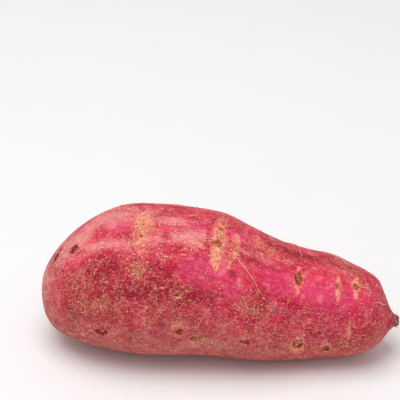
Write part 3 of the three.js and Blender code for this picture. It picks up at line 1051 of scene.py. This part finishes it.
def skin_scars(shader, colour, growth, mottle, fine, grain):
    """Cork in the skin: russet and ochre patches, and peach scars with tan cores, cracked across."""
    russet = shader.value("russet")
    scar = shader.value("scar")
    ruddy = shader.step(shader.total((russet, 0.26), mottle), 0.54, 0.74)
    ochre = shader.step(shader.total((russet, 0.24), fine), 0.6, 0.82)
    halo = shader.total(shader.step(scar, 0.0, 0.7), (mottle, 2.4))
    core = shader.step(shader.total(scar, (grain, 3.0)), 1.95, 2.5)
    cracks = shader.noise(shader.squeezed(growth, CRACK_SQUEEZE), 0.7, 2.0, 0.6)
    split = shader.product(shader.step(cracks, 0.55, 0.65), shader.step(scar, 0.2, 0.8, 0.0, 0.75))
    colour = shader.painted(
        colour,
        (ruddy, shader.step(russet, 0.0, 0.5, 0.1, 0.8), RUSSET),
        (ochre, shader.step(russet, 0.0, 0.5, 0.0, 0.75), OLIVE),
        (shader.step(halo, 1.2, 2.0, 0.0, 0.8), PEACH),
        (core, 0.9, TAN),
        (shader.step(mottle, 0.52, 0.6), shader.step(scar, 0.1, 0.5, 0.0, 0.7), CREAM),
        (shader.step(fine, 0.52, 0.62), shader.step(scar, 0.1, 0.6, 0.0, 0.4), CRIMSON),
        (split, BROWN),
    )
    return colour, core, split


def skin_dark(shader, colour, grain, pits, plain):
    """Brown and nearly black eyes, brown grain on plain skin, and the grey brown of both broken ends."""
    broken = shader.value("broken")
    dark = shader.value("dark")
    burnt = shader.total(dark, (grain, 1.5))
    browned = shader.maths("MAXIMUM", shader.step(dark, 0.0, 0.15), plain)
    return shader.painted(
        colour,
        (shader.step(burnt, 0.95, 1.35, 0.0, 0.9), browned, BROWN),
        (shader.step(burnt, 1.35, 1.75, 0.0, 0.9), DARK),
        (broken, 0.9, RUSSET),
        (broken, shader.step(grain, 0.48, 0.6), ASH),
        (broken, pits, 0.8, DARK),
    )


def skin_finish(flecks, dry_grain):
    """The skin: crimson pink in soft clouds, sandy with flecks, with russet and tan where cork has grown."""
    material, shader, out = new_material("skin")
    at = shader.place()
    growth = shader.vector("growth")
    fine = shader.noise(at, 3.0, 4.0, 0.65)
    mottle = shader.noise(at, 1.7, 3.0, 0.75)
    edge = shader.total(fine, -0.5)
    grain, pits = shader.group(dry_grain, {"Place": at, "Size": SKIN_GRAIN}).outputs
    names = ("smooth", "russet", "scar", "pale", "dark", "broken", "dust")
    smooth, russet, scar, pale, dark, broken, dust = (shader.value(name) for name in names)

    colour, streaks = skin_ground(shader, at, growth, edge)
    colour, core, split = skin_scars(shader, colour, growth, mottle, fine, grain)
    # Smooth tints thin the flecks; at (42, 96) and (-16, 118) this thinning is painted shade
    rough = shader.total((smooth, -0.8), (russet, 0.4), (scar, -0.4), 0.75, edge)
    plain = shader.product(shader.step(pale, 0.1, 0.8, 1.0, 0.2), shader.step(scar, 0.1, 0.6, 1.0, 0.1))
    colour, flecks_rise = skin_sand(shader, colour, at, growth, rough, plain, flecks)
    shader.join(skin_dark(shader, colour, grain, pits, plain), out["Base Color"])

    cork = shader.maths("MAXIMUM", core, shader.maths("MAXIMUM", dark, broken))
    shader.join(shader.total((rough, 0.14), (cork, 0.25), (dust, 0.1), 0.4), out["Roughness"])
    corky = shader.total(grain, (pits, -0.5), (split, -0.6))
    corky = shader.product(corky, shader.step(cork, 0.0, 1.0, 0.1, 1.0))
    height = shader.total((fine, 0.6), (streaks, 0.3), (corky, 0.4), flecks_rise)
    shader.join(shader.bumps(height, 0.85, 0.4), out["Normal"])
    out["Specular IOR Level"].default_value = SKIN_SHINE
    return material


def dry_finish(name, dry_grain):
    """A dry corky finish: light and middle by the piece's own tone and its grain, darkened in its pits."""
    size, light, middle, dark, pitted = DRY_FINISHES[name]
    material, shader, out = new_material(name)
    grain, pits = shader.group(dry_grain, {"Place": shader.place(), "Size": size}).outputs
    tone = shader.total((shader.value("tone"), 0.5), (grain, 1.2))
    colour = shader.painted(middle, (shader.step(tone, 0.5, 1.2), light), (pits, pitted, dark))
    shader.join(colour, out["Base Color"])
    shader.join(shader.step(grain, 0.3, 0.7, 0.75, 0.95), out["Roughness"])
    shader.join(shader.bumps(shader.total(grain, (pits, -0.6)), 0.8, 0.2), out["Normal"])
    out["Specular IOR Level"].default_value = DRY_SHINE
    return material


def floor_finish():
    """A plain pale floor."""
    material, shader, out = new_material("floor")
    grain = shader.noise(shader.place(), 40.0, 2.0)
    shader.join(shader.blend(grain, (0.91, 0.91, 0.91, 1), (0.93, 0.93, 0.93, 1)), out["Base Color"])
    out["Roughness"].default_value = 0.9
    return material


def shift_onto(box, points):
    """The step, in millimetres, that puts the middle of the points' box over that of the node's box."""
    middle = (points.min(0) + points.max(0)) / 2
    target = [(box[0][i] + box[1][i]) / 2 / MM for i in range(2)]
    return np.array([target[0] - middle[0], target[1] - middle[1], 0])


# The camera: the photograph's direction, turned so that the root falls where the photograph has it
VIEW_AZIMUTH = 5.5
VIEW_ELEVATION = 35.0
VIEW_DISTANCE = 0.9
VIEW_WIDTH = 0.2006
SENSOR_WIDTH = 36.0
IMAGE_PIXELS = 400
SIGHT_POINT = np.array([0.0, 0.0, 0.033])
SIGHT_PIXEL = (220.0, 287.0)


def make_camera(shift):
    """The camera stands back from the sight point and looks past it, so that it falls on its pixel."""
    azimuth = math.radians(VIEW_AZIMUTH)
    elevation = math.radians(VIEW_ELEVATION)
    back = np.array([
        math.sin(azimuth) * math.cos(elevation),
        -math.cos(azimuth) * math.cos(elevation),
        math.sin(elevation),
    ])
    right = np.array([math.cos(azimuth), math.sin(azimuth), 0])
    up = np.cross(back, right)
    pixel = VIEW_WIDTH / IMAGE_PIXELS
    sight = SIGHT_POINT + shift * MM
    eye = sight + back * VIEW_DISTANCE
    centre = IMAGE_PIXELS / 2
    aim = sight - right * (SIGHT_PIXEL[0] - centre) * pixel + up * (SIGHT_PIXEL[1] - centre) * pixel
    camera = bpy.data.objects.new("camera", bpy.data.cameras.new("camera"))
    camera.data.sensor_width = SENSOR_WIDTH
    camera.data.lens = SENSOR_WIDTH * VIEW_DISTANCE / VIEW_WIDTH
    camera.location = eye
    camera.rotation_euler = Vector(aim - eye).to_track_quat("-Z", "Y").to_euler()
    bpy.context.scene.collection.objects.link(camera)
    bpy.context.scene.camera = camera


def make_light(name, place, aim, size, power):
    """A soft square light."""
    lamp = bpy.data.lights.new(name, "AREA")
    lamp.size = size
    lamp.energy = power
    light = bpy.data.objects.new(name, lamp)
    light.location = place
    light.rotation_euler = (Vector(aim) - Vector(place)).to_track_quat("-Z", "Y").to_euler()
    bpy.context.scene.collection.objects.link(light)


FLOOR_HALF = 3.0
SURROUND_STRENGTH = 0.54


def make_stage():
    """A plain pale floor, an even pale surround and one soft light above and in front."""
    mesh = bpy.data.meshes.new("floor")
    corners = [(x * FLOOR_HALF, y * FLOOR_HALF, 0) for x, y in ((-1, -1), (1, -1), (1, 1), (-1, 1))]
    mesh.from_pydata(corners, [], [(0, 1, 2, 3)])
    mesh.materials.append(floor_finish())
    floor = bpy.data.objects.new("floor", mesh)
    bpy.context.scene.collection.objects.link(floor)
    world = bpy.data.worlds.new("surround")
    world.use_nodes = True
    world.node_tree.nodes["Background"].inputs["Color"].default_value = (1, 1, 1, 1)
    world.node_tree.nodes["Background"].inputs["Strength"].default_value = SURROUND_STRENGTH
    bpy.context.scene.world = world
    make_light("key", place=(-0.18, -0.12, 1.05), aim=(0, 0, 0.03), size=0.8, power=7.4)
    bpy.context.scene.view_settings.view_transform = "Standard"


flecks = make_flecks_group()
dry_grain = make_dry_grain_group()

skin_parts = skin_body()
shift = shift_onto(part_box(NODE), skin_parts[0])
skin = make_piece("skin", skin_parts, skin_finish(flecks, dry_grain), shift)
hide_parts(NODE)

make_piece("eye_scabs", eye_scabs(), dry_finish("scab", dry_grain), shift)
make_piece("cork_crumbs", cork_crumbs(), dry_finish("crumb", dry_grain), shift)
make_piece("skin_flakes", skin_flakes(), dry_finish("flake", dry_grain), shift)
make_piece("rootlets", rootlets(), dry_finish("rootlet", dry_grain), shift)
fibre_material = dry_finish("fibre", dry_grain)
make_piece("tail_fibres", tail_fibres(), fibre_material, shift)
make_piece("stem_fibres", stem_fibres(), fibre_material, shift)

make_camera(shift)
make_stage()
